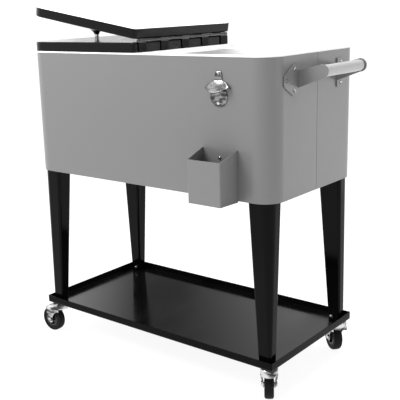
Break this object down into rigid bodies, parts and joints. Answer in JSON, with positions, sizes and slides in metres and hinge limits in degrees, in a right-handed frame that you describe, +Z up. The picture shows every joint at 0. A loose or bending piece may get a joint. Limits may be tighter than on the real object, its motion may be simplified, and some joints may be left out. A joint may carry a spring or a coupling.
{
  "type": "rolling patio cooler",
  "caption": "Rectangular cooler cabinet on tapered legs with a low shelf tray and swivel casters; twin lids on a centre hinge, end handles, bottle opener and catch bin.",
  "frame": {"origin": "centre of the whole object's footprint box, on the ground under the wheels", "axes": "+Z up, +X along the cabinet to the right-hand end, +Y from the front face with the opener to the back"},
  "size_m": [0.96, 0.4916, 0.9779],
  "materials": {
    "body_grey": "smooth satin grey enamel",
    "dark_trim": "satin black",
    "black_gloss": "gloss black powder coat",
    "liner_white": "smooth white moulded plastic",
    "foam": "rigid closed-cell foam",
    "sheet_grey": "satin grey sheet",
    "grip_steel": "satin steel tube",
    "hinge_steel": "bright rolled steel",
    "bright_chrome": "polished chrome",
    "screw_steel": "plated steel",
    "caster_chrome": "bright zinc plate",
    "tyre_black": "smooth black tread",
    "hub_black": "black moulded plastic"
  },
  "bodies": {
    "cabinet": {"cabinet_shell": "body_grey", "seam_strip": "dark_trim", "cabinet_base": "dark_trim", "insulation_foam": "foam", "inner_liner": "liner_white", "centre_bar": "liner_white", "hinge_carrier": "hinge_steel", "hinge_pin": "hinge_steel", "bottle_opener": "bright_chrome", "opener_screws": "screw_steel", "catch_bin": "sheet_grey", "bin_screws": "screw_steel", "shelf_tray": "black_gloss", "foot_screws": "bright_chrome", "leg_bolts": "dark_trim", "leg_fl": "black_gloss", "leg_fr": "black_gloss", "leg_rl": "black_gloss", "leg_rr": "black_gloss", "left_bracket_front": "sheet_grey", "left_bracket_rear": "sheet_grey", "left_grip": "grip_steel", "left_handle_screws": "screw_steel", "right_bracket_front": "sheet_grey", "right_bracket_rear": "sheet_grey", "right_grip": "grip_steel", "right_handle_screws": "screw_steel", "caster_stem_fl": "caster_chrome", "caster_stem_fr": "caster_chrome", "caster_stem_rl": "caster_chrome", "caster_stem_rr": "caster_chrome"},
    "left_lid": {"left_lid_pan": "black_gloss", "left_lid_liner": "liner_white", "left_lid_foam": "foam", "left_lid_knob": "bright_chrome", "left_hinge_leaf": "hinge_steel", "left_hinge_screws": "hinge_steel"},
    "right_lid": {"right_lid_pan": "black_gloss", "right_lid_liner": "liner_white", "right_lid_foam": "foam", "right_lid_knob": "bright_chrome", "right_hinge_leaf": "hinge_steel", "right_hinge_screws": "hinge_steel"},
    "swivel_front_left": {"caster_fork_fl": "caster_chrome", "caster_axle_fl": "caster_chrome"},
    "wheel_front_left": {"caster_tyre_fl": "tyre_black", "caster_hub_fl": "hub_black"},
    "swivel_front_right": {"caster_fork_fr": "caster_chrome", "caster_axle_fr": "caster_chrome"},
    "wheel_front_right": {"caster_tyre_fr": "tyre_black", "caster_hub_fr": "hub_black"},
    "swivel_rear_left": {"caster_fork_rl": "caster_chrome", "caster_axle_rl": "caster_chrome"},
    "wheel_rear_left": {"caster_tyre_rl": "tyre_black", "caster_hub_rl": "hub_black"},
    "swivel_rear_right": {"caster_fork_rr": "caster_chrome", "caster_axle_rr": "caster_chrome"},
    "wheel_rear_right": {"caster_tyre_rr": "tyre_black", "caster_hub_rr": "hub_black"}
  },
  "joints": [
    {"name": "left_lid_hinge", "type": "hinge", "parent": "cabinet", "child": "left_lid", "pos_m": [0, 0.02045, 0.8762], "axis": [0, 1, 0], "range_deg": [0, 170.64]},
    {"name": "right_lid_hinge", "type": "hinge", "parent": "left_lid", "child": "right_lid", "pos_m": [0, 0.02045, 0.8762], "axis": [0, -1, 0], "range_deg": [-170.64, 0]},
    {"name": "swivel_front_left_turn", "type": "hinge", "parent": "cabinet", "child": "swivel_front_left", "pos_m": [-0.376, -0.15555, 0.09], "axis": [0, 0, 1], "continuous": true},
    {"name": "wheel_front_left_roll", "type": "hinge", "parent": "swivel_front_left", "child": "wheel_front_left", "pos_m": [-0.40598, -0.1566, 0.0375], "axis": [0.0349, -0.9994, 0], "continuous": true},
    {"name": "swivel_front_right_turn", "type": "hinge", "parent": "cabinet", "child": "swivel_front_right", "pos_m": [0.376, -0.15555, 0.09], "axis": [0, 0, 1], "continuous": true},
    {"name": "wheel_front_right_roll", "type": "hinge", "parent": "swivel_front_right", "child": "wheel_front_right", "pos_m": [0.35966, -0.13039, 0.0375], "axis": [-0.8387, -0.5446, 0], "continuous": true},
    {"name": "swivel_rear_left_turn", "type": "hinge", "parent": "cabinet", "child": "swivel_rear_left", "pos_m": [-0.376, 0.19645, 0.09], "axis": [0, 0, 1], "continuous": true},
    {"name": "wheel_rear_left_roll", "type": "hinge", "parent": "swivel_rear_left", "child": "wheel_rear_left", "pos_m": [-0.40419, 0.20671, 0.0375], "axis": [-0.342, -0.9397, 0], "continuous": true},
    {"name": "swivel_rear_right_turn", "type": "hinge", "parent": "cabinet", "child": "swivel_rear_right", "pos_m": [0.376, 0.19645, 0.09], "axis": [0, 0, 1], "continuous": true},
    {"name": "wheel_rear_right_roll", "type": "hinge", "parent": "swivel_rear_right", "child": "wheel_rear_right", "pos_m": [0.35236, 0.21492, 0.0375], "axis": [-0.6157, -0.788, 0], "continuous": true}
  ]
}
